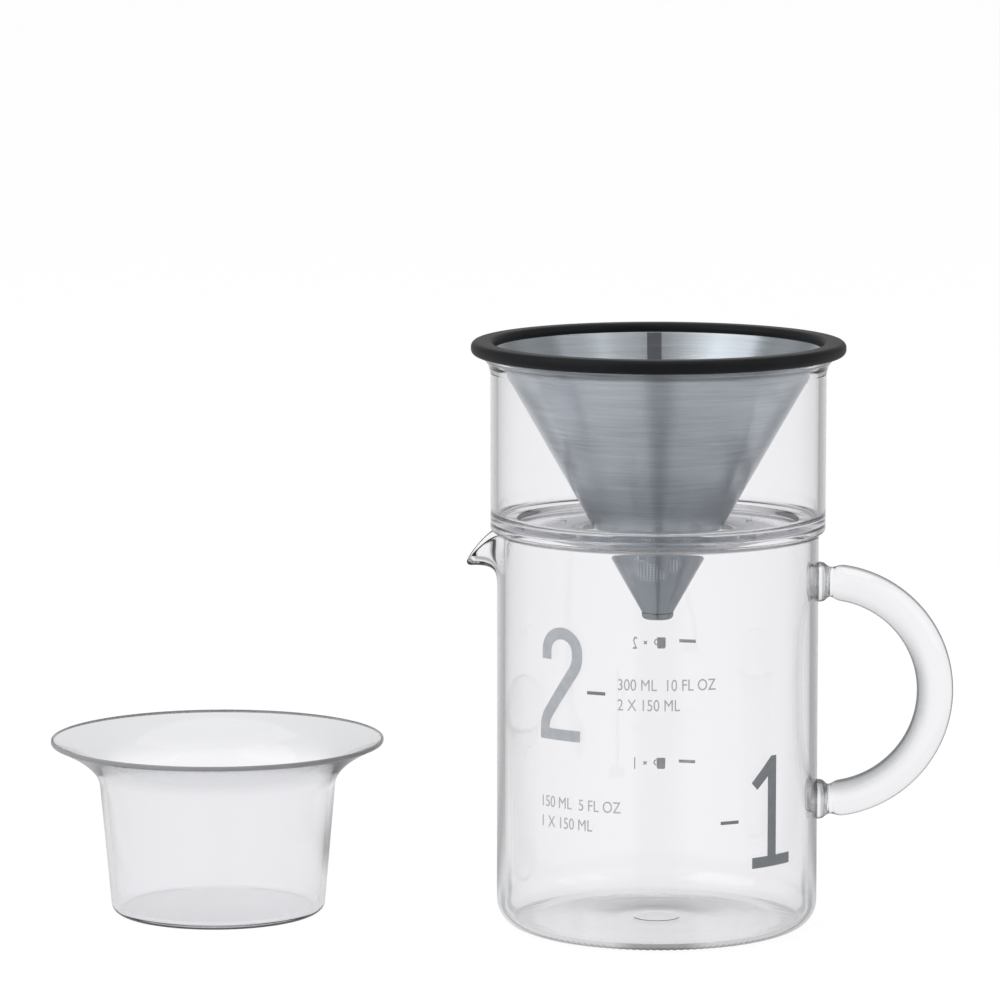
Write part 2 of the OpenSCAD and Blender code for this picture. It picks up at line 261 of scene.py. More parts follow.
coneSteelLook = {
    "half": 29.5, "apex": 74.32, "pitch": 0.85, "holeEdge": (0.4, 0.75), "insideEdge": (-0.1, 0.1),
    "bandLow": 88.0, "bandLowSoft": 1.0, "bandHigh": 143.5, "bandHighSoft": 0.5,
    "brushStretch": (0.2, 0.2, 12.0), "brushScale": 300.0, "brushDetail": 4.0, "brushShare": 0.4,
    "brushRough": 0.12, "brushStrength": 0.05, "brushDepth": 0.05,
    "streakStretch": (0.5, 0.5, 9.0), "streakScale": 60.0, "streakDetail": 2.0, "streakShare": 0.3,
    "cloudScale": 30.0, "cloudDetail": 3.0, "cloudShare": 0.3, "toneEdge": (0.3, 0.7), "toneLeast": 0.5,
    "dark": (0.36, 0.395, 0.43), "light": (0.7, 0.755, 0.8), "tipShadeLow": 102.5, "tipShadeHigh": 107.5, "tipShadeDark": 1.0,
    "insideDark": 0.5, "holeTint": (0.16, 0.17, 0.18), "holeDark": 0.05, "holeTipShade": 0.1,
    "skyTint": (0.95, 0.96, 0.97), "holeLight": 0.3,
    "speckScale": 190.0, "speckDetail": 1.0, "speckEdge": (0.4, 0.6), "speckLight": 0.7,
    "roughness": 0.18, "anisotropic": 0.9, "anisotropicTurn": 0.25}
plainSteelLook = dict(coneSteelLook, bandLow=400.0, bandHigh=401.0)  # the band of holes lies far above the piece
capSteelLook = dict(plainSteelLook, dark=(0.34, 0.36, 0.38), light=(0.46, 0.48, 0.5))
# painted shade: the seam is the same steel as the cone, tinted darker as the shade in the lap
seamSteelLook = dict(plainSteelLook, dark=(0.22, 0.235, 0.26), light=(0.36, 0.38, 0.41))


# satin black moulding with a fine spark-eroded grain and paler, drier patches
def blackFinish(name, look):
    finish, flow = newFinish(name)
    coords = flow.node("ShaderNodeTexCoord", out="Object")
    grain = flow.noise(coords, look["grainScale"], look["grainDetail"])
    patch = flow.noise(coords, look["patchScale"], look["patchDetail"])
    surface = flow.node("ShaderNodeBsdfPrincipled", {}, {
        "Base Color": flow.shade(patch.ease(*look["patchEdge"]), look["dark"], look["light"]),
        "Roughness": look["roughness"] + patch * look["patchRough"] + grain * look["grainRough"],
        "Specular IOR Level": look["specular"],
        "Normal": flow.bump(grain, look["grainStrength"], look["grainDepth"] * mm)})
    flow.node("ShaderNodeOutputMaterial", {}, {"Surface": surface})
    return finish


ringBlackLook = {
    "dark": (0.0062, 0.0068, 0.008), "light": (0.0105, 0.0112, 0.013), "roughness": 0.38, "specular": 0.16,
    "grainScale": 2600.0, "grainDetail": 2.0, "grainRough": 0.06, "grainStrength": 0.15, "grainDepth": 0.03,
    "patchScale": 90.0, "patchDetail": 3.0, "patchRough": 0.12, "patchEdge": (0.3, 0.7)}
inkLook = {
    "pale": (0.56, 0.585, 0.62), "dark": (0.26, 0.275, 0.295), "rear": (0.82, 0.83, 0.85),
    "coverScale": 420.0, "coverDetail": 4.0, "coverEdge": (0.35, 0.7), "coverRough": 0.15, "thin": 1.12,
    "screenScale": 2400.0, "screenDetail": 1.0, "screenStrength": 0.1, "screenDepth": 0.01, "roughness": 0.5}


# screen-printed ink: a slightly uneven cover, duller than the glass
def inkFinish(name, shade, look):
    finish, flow = newFinish(name)
    coords = flow.node("ShaderNodeTexCoord", out="Object")
    cover = flow.noise(coords, look["coverScale"], look["coverDetail"])
    screen = flow.noise(coords, look["screenScale"], look["screenDetail"])
    thin = tuple(part * look["thin"] for part in shade)
    surface = flow.node("ShaderNodeBsdfPrincipled", {}, {
        "Base Color": flow.shade(cover.ease(*look["coverEdge"]), shade, thin),
        "Roughness": look["roughness"] + cover * look["coverRough"],
        "Normal": flow.bump(screen, look["screenStrength"], look["screenDepth"] * mm)})
    flow.node("ShaderNodeOutputMaterial", {}, {"Surface": surface})
    return finish


def clearSelection():
    if bpy.context.mode != "OBJECT":
        bpy.ops.object.mode_set(mode="OBJECT")
    bpy.ops.object.select_all(action="DESELECT")


# selects, in edit mode, the vertices whose place passes the test
def pickVerts(piece, test):
    bpy.ops.mesh.select_all(action="DESELECT")
    mesh = bmesh.from_edit_mesh(piece.data)
    for vert in mesh.verts:
        if test(vert.co):
            vert.select_set(True)
    mesh.select_flush(True)
    bmesh.update_edit_mesh(piece.data)


# how far a rounding of this radius reaches along the two lines that meet in a corner
def reach(before, corner, after, radius):
    turn = (corner - before).angle(after - corner)
    return radius * math.tan(turn / 2)


# a vertex walked through the corners (x, z, rounding in mm) of an outline in the XZ plane
def walkOutline(name, corners, closed, segments=8):
    spots = [Vector((corner[0] * mm, 0, corner[1] * mm)) for corner in corners]
    clearSelection()
    bpy.ops.mesh.primitive_plane_add(size=mm)
    piece = bpy.context.object
    piece.name = piece.data.name = name
    bpy.ops.object.mode_set(mode="EDIT")
    bpy.ops.mesh.merge(type="CENTER")
    bpy.ops.transform.translate(value=spots[0])
    for here, there in zip(spots, spots[1:]):
        bpy.ops.mesh.extrude_region_move(TRANSFORM_OT_translate={"value": there - here})
    if closed:
        pickVerts(piece, lambda place: min((place - end).length for end in (spots[0], spots[-1])) < touch)
        bpy.ops.mesh.edge_face_add()
    for index, corner in enumerate(corners):
        if corner[2] > 0:
            spot, after = spots[index], spots[(index + 1) % len(spots)]
            pickVerts(piece, lambda place: (place - spot).length < touch)
            bpy.ops.mesh.bevel(offset_type="OFFSET", affect="VERTICES", segments=segments, clamp_overlap=False,
                               offset=reach(spots[index - 1], spot, after, corner[2] * mm))
    return piece


# turns the faces of the piece in hand outwards
def faceOut():
    bpy.ops.object.mode_set(mode="EDIT")
    bpy.ops.mesh.select_all(action="SELECT")
    bpy.ops.mesh.normals_make_consistent(inside=False)
    bpy.ops.object.mode_set(mode="OBJECT")


# smooths the piece in hand: an edge that turns by more degrees than this stays sharp
def smooth(sharp=35):
    bpy.ops.object.shade_smooth_by_angle(angle=math.radians(sharp))


# spins the section in hand once round the upright axis and merges its seam and poles
def spinRound(steps):
    bpy.ops.mesh.select_all(action="SELECT")
    bpy.ops.mesh.spin(steps=steps, angle=2 * math.pi, center=(0, 0, 0), axis=(0, 0, 1))
    bpy.ops.mesh.select_all(action="SELECT")
    bpy.ops.mesh.remove_doubles(threshold=2 * touch)
    faceOut()


def turnPiece(name, corners, steps, closed, segments=8):
    piece = walkOutline(name, corners, closed, segments)
    spinRound(steps)
    smooth()
    return piece


def dress(piece, body, slot, finish, *nodes):
    piece.data.materials.clear()
    piece.data.materials.append(finish)
    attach(piece, body)
    if nodes:
        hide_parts(*nodes)
    print("dressed", piece.name, len(piece.data.polygons), "faces")


# Jug
jug = {
    "radius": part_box("jug_body")[1].y / mm, "height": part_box("jug_body")[1].z / mm,
    "wall": 2.0, "floor": 1.7, "footRound": 6.6, "footInner": 30.5, "steps": 528, "roundSteps": 10, "sharp": 50,
    "puntFlat": 10.0, "puntRadius": 26.0, "puntDepth": 0.3, "softRound": 60.0,
    "dipOuter": 22.0, "dipInner": 12.0, "dipDepth": 0.06,
    "markOuter": 6.2, "markInner": 5.6, "markDip": 0.05, "markRound": 0.5,
    "ribDepth": 0.14, "ribFrom": 35.0, "ribTo": 37.0, "ribBelow": 0.4, "ribSpokes": 4,
    "spoutHalf": 16.0, "spoutOut": 7.8, "spoutDrop": 7.2, "spoutDepth": 14.4, "drawRows": 18, "drawRoom": 2.0,
    "spoutBow": 2.5, "spoutDip": 2.0, "spoutWide": 1.6, "spoutSharp": 3.0, "spoutStep": 0.02}


# middle of the drawn wall in mm: a degrees from the spout's middle, v from 0 at its foot to 1 at the rim
def drawnWall(a, v):
    inside = abs(a) < jug["spoutHalf"]
    draw = math.cos(math.radians(90 * a / jug["spoutHalf"])) ** jug["spoutSharp"] if inside else 0
    rise = jug["spoutDepth"] - jug["wall"] / 2
    out = jug["radius"] - jug["wall"] / 2 + draw * jug["spoutOut"] * v ** jug["spoutBow"]
    drop = draw ** jug["spoutWide"] * jug["spoutDrop"] * v ** jug["spoutDip"]
    return Vector((out, jug["height"] - jug["spoutDepth"] + rise * v - drop))


# pulls the rim out and down into the spout, keeping the wall's thickness
def drawSpout(piece):
    mid, low = jug["radius"] - jug["wall"] / 2, jug["height"] - jug["spoutDepth"]
    rimMid, step = jug["height"] - jug["wall"] / 2, jug["spoutStep"]
    for vert in piece.data.vertices:
        turn = math.atan2(vert.co.y, -vert.co.x)
        a = math.degrees(turn)
        out, up = vert.co.xy.length / mm, vert.co.z / mm
        if up > low and abs(a) < jug["spoutHalf"]:
            v = min((up - low) / (rimMid - low), 1)
            way = (drawnWall(a, min(v + step, 1)) - drawnWall(a, max(v - step, 0))).normalized()
            across = Vector((way.y, -way.x))
            spot = drawnWall(a, v) + across * (out - mid) + way * max(up - rimMid, 0)
            vert.co = Vector((-spot.x * math.cos(turn), spot.x * math.sin(turn), spot.y)) * mm


# every second pair of spokes of the foot ring lifted, as the moulded ribs that a jug stands on
def ribFoot(piece):
    spoke = 2 * math.pi / jug["steps"]
    for vert in piece.data.vertices:
        out = vert.co.xy.length / mm
        count = round(math.atan2(vert.co.y, vert.co.x) / spoke) % jug["ribSpokes"]
        inRing = jug["ribFrom"] < out < jug["ribTo"] and vert.co.z < jug["ribBelow"] * mm
        if inRing and count >= jug["ribSpokes"] / 2:
            vert.co.z += jug["ribDepth"] * mm


def makeJug():
    r, h, inner = jug["radius"], jug["height"], jug["radius"] - jug["wall"]
    drawLow = h - jug["spoutDepth"] - jug["drawRoom"]
    floor, dip = jug["floor"], jug["floor"] - jug["dipDepth"]
    piece = walkOutline("jugBody", [
        (0, jug["puntDepth"], 0), (jug["puntFlat"], jug["puntDepth"], jug["softRound"]),
        (jug["puntRadius"], 0, jug["softRound"]), (jug["footInner"], 0, 0), (r, 0, jug["footRound"]),
        (r, drawLow, 0), (r, h, jug["wall"] / 2), (inner, h, jug["wall"] / 2), (inner, drawLow, 0),
        (inner, floor, jug["footRound"] - jug["wall"]), (jug["dipOuter"], floor, jug["softRound"]),
        (jug["dipInner"], dip, jug["softRound"]), (jug["markOuter"], dip, jug["markRound"]),
        (jug["markInner"], floor, jug["markRound"]), (0, floor - jug["markDip"], 0)],
        closed=False, segments=jug["roundSteps"])
    for wallRadius in (r, inner):  # rows of vertices for the spout to be drawn from
        pickVerts(piece, lambda place: abs(place.x - wallRadius * mm) < touch
                  and place.z > (drawLow - jug["drawRoom"] / 2) * mm)
        bpy.ops.mesh.subdivide(number_cuts=jug["drawRows"])
    spinRound(jug["steps"])
    smooth(jug["sharp"])
    drawSpout(piece)
    ribFoot(piece)
    return piece


dress(makeJug(), "jug", "jug_glass", clearFinish("jugGlass", jugGlassLook), "jug_body")


# Handle
handle = {
    "rod": 4.7, "bend": 28.4, "stub": 1.9, "height": 60.9, "steps": 96, "around": 56, "sharp": 50,
    "endRows": 5, "endShares": (0.7, 0.55, 0.4), "endNear": 0.01, "pickRoom": 1.0, "gap": 0.03,
    "collar": 0.5, "collarFrom": 1.4, "collarTo": 2.5, "neck": 0.85, "neckAt": 3.2, "neckLong": 1.6}


# radius of the rod at a distance from the wall: weld collar, neck, then the even rod
def rodRadius(far):
    t = min(max((far - handle["collarFrom"]) / (handle["collarTo"] - handle["collarFrom"]), 0), 1)
    collar = handle["collar"] * (1 - t * t * (3 - 2 * t))
    neck = handle["neck"] * math.exp(-((far - handle["neckAt"]) / handle["neckLong"]) ** 2)
    return handle["rod"] + collar - neck


def makeHandle():
    startX = jug["radius"] + handle["stub"]
    middle = Vector((startX * mm, 0, handle["height"] * mm))
    low = Vector((startX, 0, handle["height"] - handle["bend"])) * mm
    clearSelection()
    bpy.ops.mesh.primitive_circle_add(vertices=handle["around"], radius=handle["rod"] * mm,
                                      location=low, rotation=(0, math.pi / 2, 0))
    piece = bpy.context.object
    piece.name = piece.data.name = "jugHandle"
    bpy.ops.object.transform_apply(location=True, rotation=True, scale=True)
    bpy.ops.object.mode_set(mode="EDIT")
    bpy.ops.mesh.select_all(action="SELECT")
    bpy.ops.mesh.spin(steps=handle["steps"], angle=math.pi, center=middle, axis=(0, 1, 0))
    for side in (-1, 1):  # stubs from the ends of the bend to the wall, closed by a face of rings
        endZ = (handle["height"] + side * handle["bend"]) * mm
        pickVerts(piece, lambda place: abs(place.x - startX * mm) < 2 * touch
                  and abs(place.z - endZ) < (handle["rod"] + handle["pickRoom"]) * mm)
        for row in range(handle["endRows"]):
            bpy.ops.mesh.extrude_edges_move(
                TRANSFORM_OT_translate={"value": (-handle["stub"] * mm / handle["endRows"], 0, 0)})
        for share in handle["endShares"]:
            bpy.ops.mesh.extrude_edges_move(TRANSFORM_OT_translate={"value": (0, 0, 0)})
            bpy.ops.transform.resize(value=(1, share, share), center_override=(jug["radius"] * mm, 0, endZ))
        bpy.ops.mesh.merge(type="CENTER")
    faceOut()
    seat = jug["radius"] + handle["gap"]
    for vert in piece.data.vertices:
        if vert.co.x > middle.x:
            angle = math.atan2(vert.co.z - middle.z, vert.co.x - middle.x)
            far = handle["stub"] + (math.pi / 2 - abs(angle)) * handle["bend"]
            centre = middle + Vector((math.cos(angle), 0, math.sin(angle))) * handle["bend"] * mm
        else:
            far = vert.co.x / mm - jug["radius"]
            side = math.copysign(handle["bend"] * mm, vert.co.z - middle.z)
            centre = Vector((vert.co.x, 0, middle.z + side))
        vert.co = centre + (vert.co - centre) * rodRadius(far) / handle["rod"]
        if far < handle["endNear"]:  # the end face lies on the round wall
            vert.co.x = math.sqrt((seat * mm) ** 2 - vert.co.y ** 2)
    smooth(handle["sharp"])
    return piece


dress(makeHandle(), "jug", "handle_glass", clearFinish("handleGlass", handleGlassLook), "jug_handle")


# Brewer
brewer = {
    "radius": 43.1, "inner": 41.2, "seat": jug["height"], "floorTop": 107.0, "dish": 102.9,
    "under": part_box("brewer_body")[0].z / mm, "top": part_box("brewer_body")[1].z / mm,
    "lipRadius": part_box("brewer_body")[1].y / mm, "lipInner": 43.0,
    "lipFrom": 143.6, "lipMid": 145.67, "lipHigh": 147.28, "lipMidOut": 0.54, "lipRound": 3.0, "lipBend": 0.6,
    "flangeRound": 1.0, "footRadius": 40.6, "footRound": 0.6, "bendIn": 0.2, "bendRound": 0.8,
    "floorThick": 1.7, "floorRound": 1.6, "holeRadius": 19.31, "edgeWidth": 1.3, "edgeHeight": 0.6,
    "edgeSoft": 0.3, "edgeTopSoft": 0.2, "steps": 192, "roundSteps": 6,
    "vents": 3, "ventFirst": -90, "ventRadius": 0.8, "ventAt": 27.9, "ventRoom": 1.4, "ventSides": 32, "drill": 8.0}


def makeBrewer():
    b, soft, topSoft = brewer, brewer["edgeSoft"], brewer["edgeTopSoft"]
    edge, edgeTop = b["holeRadius"] + b["edgeWidth"], b["dish"] + b["edgeHeight"]
    slope = (b["floorTop"] - b["dish"]) / (b["inner"] - edge)
    bendRadius = b["footRadius"] - b["bendIn"]
    bendHeight = b["dish"] + slope * (bendRadius - edge) - b["floorThick"]
    lowSlope = (bendHeight - b["under"]) / (bendRadius - b["holeRadius"])
    near, away = b["ventAt"] - b["ventRoom"], b["ventAt"] + b["ventRoom"]  # rings that keep the holes' faces small
    underRings = [(out, b["under"] + lowSlope * (out - b["holeRadius"]), 0) for out in (near, away)]
    dishRings = [(out, b["dish"] + slope * (out - edge), 0) for out in (away, near)]
    piece = turnPiece("brewerBody", [
        (b["holeRadius"], b["under"], soft), *underRings, (bendRadius, bendHeight, b["bendRound"]),
        (b["footRadius"], b["seat"], b["footRound"]), (b["radius"], b["seat"], b["flangeRound"]),
        (b["radius"], b["lipFrom"], b["lipRound"]), (b["radius"] + b["lipMidOut"], b["lipMid"], b["lipRound"]),
        (b["lipRadius"], b["lipHigh"], b["lipBend"]), (b["lipRadius"], b["top"], soft),
        (b["lipInner"], b["top"], soft), (b["lipInner"], b["lipHigh"], b["lipBend"]),
        (b["inner"] + b["lipMidOut"], b["lipMid"], b["lipRound"]), (b["inner"], b["lipFrom"], b["lipRound"]),
        (b["inner"], b["floorTop"], b["floorRound"]), *dishRings, (edge, b["dish"], soft),
        (edge, edgeTop, topSoft), (b["holeRadius"], edgeTop, topSoft)],
        b["steps"], closed=True, segments=b["roundSteps"])
    for index in range(b["vents"]):
        turn = math.radians(360 * index / b["vents"] + b["ventFirst"])
        place = Vector((b["ventAt"] * math.cos(turn), b["ventAt"] * math.sin(turn), b["dish"])) * mm
        clearSelection()
        bpy.ops.mesh.primitive_cylinder_add(
            vertices=b["ventSides"], radius=b["ventRadius"] * mm, depth=b["drill"] * mm, location=place)
        drill = bpy.context.object
        bpy.context.view_layer.objects.active = piece
        cut = piece.modifiers.new("airHole", "BOOLEAN")
        cut.operation, cut.solver, cut.object = "DIFFERENCE", "EXACT", drill
        bpy.ops.object.modifier_apply(modifier=cut.name)
        bpy.data.objects.remove(drill)
    clearSelection()
    piece.select_set(True)
    smooth()
    return piece


dress(makeBrewer(), "brewer", "brewer_plastic", clearFinish("brewerClear", brewerClearLook), "brewer_body")


# Filter: cone with its seam, cap and ring
ringLow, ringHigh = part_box("filter_ring")
coneLow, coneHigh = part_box("filter_cone")
filterSet = {
    "sheet": 0.4, "half": 29.5, "tip": 4.1, "tipLow": coneLow.z / mm, "rimTop": coneHigh.z / mm,
    "rimRadius": coneHigh.y / mm, "rimInner": 42.295, "tipRound": 0.1, "rimRound": 0.2, "mouthRound": 0.3,
    "coneSteps": 240, "coneRoundSteps": 3,
    "seamWide": 3.8, "seamThick": 0.2, "seamLow": 4.0, "seamHigh": 0.2, "seamGap": 0.02, "seamSharp": 40,
    "seamColumns": 8, "seamRows": 48,
    "capLow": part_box("filter_cap")[0].z / mm, "capBend": 1.08, "capSteps": 96,
    "shoulderIn": 0.25, "shoulderLow": 0.12, "shoulderHigh": 0.05, "shoulderRound": 0.1,
    "capPlug": 1.6, "plugGap": 0.02, "plugRound": 0.2,
    "ringInner": 42.3, "ringRadius": ringHigh.y / mm, "ringLow": ringLow.z / mm, "ringTop": ringHigh.z / mm,
    "ringRound": 1.5, "ringSteps": 192, "ringRoundSteps": 10}
coneSlope = math.tan(math.radians(filterSet["half"]))
coneAcross = filterSet["sheet"] / math.cos(math.radians(filterSet["half"]))


# inside radius of the cone at a height
def coneInside(up):
    return filterSet["tip"] - coneAcross + coneSlope * (up - filterSet["tipLow"])


def makeCone():
    f = filterSet
    under = f["rimTop"] - f["sheet"]
    return turnPiece("filterCone", [
        (coneInside(f["tipLow"]), f["tipLow"], 0), (f["tip"], f["tipLow"], f["tipRound"]),
        (f["rimInner"], under, f["rimRound"]), (f["rimRadius"], under, 0), (f["rimRadius"], f["rimTop"], 0),
        (coneInside(f["rimTop"]), f["rimTop"], f["mouthRound"])],
        f["coneSteps"], closed=True, segments=f["coneRoundSteps"])


# the lap where the rolled sheet meets, a strip that lies on the inside at the back
def makeSeam():
    f = filterSet
    low, high = f["tipLow"] + f["seamLow"], f["rimTop"] - f["seamHigh"]
    clearSelection()
    bpy.ops.mesh.primitive_grid_add(x_subdivisions=f["seamColumns"], y_subdivisions=f["seamRows"], size=1)
    piece = bpy.context.object
    piece.name = piece.data.name = "coneSeam"
    for vert in piece.data.vertices:
        across, up = vert.co.x * f["seamWide"], low + (vert.co.y + 0.5) * (high - low)
        vert.co = Vector((across, math.sqrt(coneInside(up) ** 2 - across ** 2) - f["seamGap"], up)) * mm
    faceOut()
    sheet = piece.modifiers.new("sheet", "SOLIDIFY")
    sheet.thickness, sheet.offset = f["seamThick"] * mm, 1 if piece.data.polygons[0].normal.y < 0 else -1
    bpy.ops.object.modifier_apply(modifier=sheet.name)
    smooth(f["seamSharp"])
    return piece


def makeCap():
    f = filterSet
    plugTop = f["tipLow"] + f["capPlug"]
    return turnPiece("filterCap", [
        (0, f["capLow"], 0), (f["tip"], f["capLow"], f["capBend"]),
        (f["tip"], f["tipLow"] - f["shoulderLow"], f["shoulderRound"]),
        (f["tip"] - f["shoulderIn"], f["tipLow"] - f["shoulderHigh"], 0),
        (coneInside(f["tipLow"]) - f["plugGap"], f["tipLow"], 0),
        (coneInside(plugTop) - f["plugGap"], plugTop, f["plugRound"]), (0, plugTop, 0)], f["capSteps"], closed=False)


def makeRing():
    f = filterSet
    return turnPiece("filterRing", [
        (f["ringInner"], f["ringLow"], f["ringRound"]), (f["ringRadius"], f["ringLow"], f["ringRound"]),
        (f["ringRadius"], f["ringTop"], f["ringRound"]), (f["ringInner"], f["ringTop"], f["ringRound"])],
        f["ringSteps"], closed=True, segments=f["ringRoundSteps"])


dress(makeCone(), "filter", "cone_steel", steelFinish("coneSteel", coneSteelLook), "filter_cone")
dress(makeSeam(), "filter", "cone_steel", steelFinish("seamSteel", seamSteelLook))
dress(makeCap(), "filter", "cap_steel", steelFinish("capSteel", capSteelLook), "filter_cap")
dress(makeRing(), "filter", "ring_plastic", blackFinish("ringBlack", ringBlackLook), "filter_ring")


# Stand
standLow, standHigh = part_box("stand_body")
stand = {
    "axis": (standLow + standHigh) / 2, "rim": (standHigh.x - standLow.x) / 2 / mm, "height": standHigh.z / mm,
    "edge": 1.0, "edgeIn": 0.6, "edgeRound": 0.4, "rimRound": 0.25, "edgeShadeWide": 0.5, "edgeShadeFull": 0.15,
    "neck": 30.7, "flare": 12.3, "bow": 5.8, "flareSteps": 20, "wall": 1.4,
    "foot": 28.0, "footRound": 2.6, "floor": 1.3, "steps": 192}


# the flare's curve from a to c, with b where the tangents of its ends meet
def flareCurve(a, b, c):
    shares = [step / stand["flareSteps"] for step in range(stand["flareSteps"] + 1)]
    return [(1 - t) ** 2 * a + 2 * t * (1 - t) * b + t * t * c for t in shares]


def makeStand():
    s = stand
    neckHeight = s["height"] - s["flare"]
    lean = (s["neck"] - s["foot"]) / (neckHeight - s["footRound"])
    bow = Vector((lean, 1)) * s["bow"]
    rise = Vector((0, s["edge"] / 2))
    outside, inside = Vector((s["neck"], neckHeight)), Vector((s["neck"] - s["wall"], neckHeight)) + rise
    outer = flareCurve(outside, outside + bow, Vector((s["rim"], s["height"] - s["edge"])))
    inner = flareCurve(Vector((s["rim"] - s["edge"] * s["edgeIn"], s["height"])), inside + bow + rise, inside)
    footEdge = s["foot"] - s["footRound"] * lean
    piece = turnPiece("standBody", [
        (0, 0, 0), (footEdge, 0, s["footRound"]),
        *[(spot.x, spot.y, 0) for spot in outer[:-1]], (outer[-1].x, outer[-1].y, s["edgeRound"]),
        (s["rim"], s["height"], s["rimRound"]), (inner[0].x, inner[0].y, s["rimRound"]),
        *[(spot.x, spot.y, 0) for spot in inner[1:]],
        (footEdge - s["wall"], s["floor"], s["footRound"] - s["floor"]), (0, s["floor"], 0)],
        s["steps"], closed=False)
    bpy.ops.object.mode_set(mode="EDIT")
    bpy.ops.mesh.select_all(action="SELECT")
    bpy.ops.transform.translate(value=(s["axis"].x, s["axis"].y, 0))
    bpy.ops.object.mode_set(mode="OBJECT")
    return piece


standClearLook = dict(
    brewerClearLook, ior=1.25, calmCover=0.0, tint=(0.915, 0.915, 0.928), edgeFrom=0.75, edgeDark=0.25,
    highFrom=35.0, highTo=40.0, highDark=0.17,
    edgeShadeTint=(0.42, 0.425, 0.44), edgeShadeAxis=((1, 1, 0), (-stand["axis"].x, -stand["axis"].y, 0)),
    edgeShadeFrom=stand["rim"] - stand["edgeShadeWide"], edgeShadeTo=stand["rim"] - stand["edgeShadeFull"], edgeShadeCover=0.9)
dress(makeStand(), "stand", "stand_plastic", clearFinish("standClear", standClearLook), "stand_body")


# Level marks printed on the glass: x is the way round the wall, from the front to the handle, in mm
marks = {
    "lift": 0.02, "thick": 0.05, "slice": 1.5, "stroke": 3.0,
    "twoLeft": -31.7, "twoRight": -22.25, "twoArch": 76.28, "twoStart": 74.1, "twoBend": 7.0, "twoSag": 1.0,
    "twoLean": 35.6, "twoFoot": -32.3, "twoBar": (-33.8, -21.3, 53.6, 56.46), "archSteps": 20, "bendSteps": 8,
    "oneStem": (29.75, 32.7), "oneBase": (24.7, 38.0, 20.8, 23.6), "oneTop": 49.3, "oneFlat": 1.8,
    "oneFlag": ((24.4, 42.9), (26.2, 41.0)), "oneNotch": 44.2,
    "upperDash": (-19.35, -14.4, 66.55), "lowerDash": (15.4, 20.5, 33.35), "dashThick": 0.85,
    "upperRows": ("300 ML  10 FL OZ", "2 X 150 ML"), "lowerRows": ("150 ML  5 FL OZ", "1 X 150 ML"),
    "upperCaption": (-11.3, 67.7), "lowerCaption": (-33.8, 36.2),
    "captionSize": 4.15, "captionNarrow": 0.8, "captionStep": 5.15,
    "upperDigit": "2", "lowerDigit": "1", "upperRear": 65.35, "lowerRear": 33.0,
    "rearDigit": 4.3, "rearNarrow": 0.6, "rearSize": 4.7, "rearDash": (-11.7, -7.1), "rearDashHigh": 2.2,
    "rearCross": 2.17, "crossHigh": 1.6, "crossLong": 0.62, "crossHalf": 0.16,
    "rearCup": (-3.4, -1.0), "cupHigh": 3.0, "cupCorner": 0.35, "cupTaper": 0.05, "cupLap": 0.02,
    "cupMiddle": 1.75, "cupOuter": 0.85, "cupInner": 0.5, "cupSpread": 85, "cupSteps": 12}


# points along an arc, angles in degrees
def arc(centre, radius, start, end, steps):
    turns = [math.radians(start + (end - start) * step / steps) for step in range(steps + 1)]
    return [Vector((centre[0] + radius * math.cos(turn), centre[1] + radius * math.sin(turn))) for turn in turns]


# the two sides of a stroke along a line of points
def strokeSides(path, width):
    left, right = [], []
    for index, spot in enumerate(path):
        way = (path[min(index + 1, len(path) - 1)] - path[max(index - 1, 0)]).normalized()
        side = Vector((-way.y, way.x)) * width / 2
        left.append(spot + side)
        right.append(spot - side)
    return left, right


def numeralTwo():
    m = marks
    bow = (m["twoRight"] - m["twoLeft"]) / 2
    bend, lean = m["twoBend"], m["twoLean"]
    barLeft, barRight, barLow, barHigh = m["twoBar"]
    path = [Vector((m["twoLeft"], m["twoStart"]))]
    path += arc((m["twoLeft"] + bow, m["twoArch"]), bow, 180, 0, m["archSteps"])
    path += arc((m["twoRight"] - bend, m["twoArch"] - m["twoSag"]), bend, 0, -lean, m["bendSteps"])
    path += arc((m["twoFoot"] + bend, barHigh), bend, 180 - lean, 180, m["bendSteps"])
    left, right = strokeSides(path, m["stroke"])
    right[-1].y = barHigh
    bar = [Vector(spot) for spot in (
        (left[-1].x, barHigh), (barRight, barHigh), (barRight, barLow), (barLeft, barLow))]
    return left[:-1] + bar + list(reversed(right))


def numeralOne():
    m = marks
    left, right = m["oneStem"]
    baseLeft, baseRight, low, high = m["oneBase"]
    return [Vector(spot) for spot in (
        (baseLeft, low), (baseRight, low), (baseRight, high), (right, high), (right, m["oneTop"]),
        (right - m["oneFlat"], m["oneTop"]), *m["oneFlag"], (left, m["oneNotch"]), (left, high), (baseLeft, high))]


def dashOutline(dash):
    left, right, level = dash
    half = marks["dashThick"] / 2
    return [Vector(spot) for spot in (
        (left, level - half), (right, level - half), (right, level + half), (left, level + half))]


# a multiplication sign
def crossOutline(middle, level):
    far, half = marks["crossLong"], marks["crossHalf"]
    spots = []
    for angle in (math.radians(45 - 90 * turn) for turn in range(4)):
        for x, y in ((half, half), (far, half), (far, -half)):
            spots.append(Vector((middle + x * math.cos(angle) - y * math.sin(angle),
                                 level + x * math.sin(angle) + y * math.cos(angle))))
    return spots


# a plain cup seen from the side, with a round handle
def cupOutlines(left, right, low):
    m, top = marks, low + marks["cupHigh"]
    corner, taper, spread = m["cupCorner"], m["cupTaper"], m["cupSpread"]
    body = [Vector(spot) for spot in (
        (left + corner, low), (right - corner, low), (right - taper, low + corner), (right, top),
        (left, top), (left + taper, low + corner))]
    middle = (right - m["cupLap"], low + m["cupMiddle"])
    return [body, arc(middle, m["cupOuter"], -spread, spread, m["cupSteps"])
            + arc(middle, m["cupInner"], spread, -spread, m["cupSteps"])]


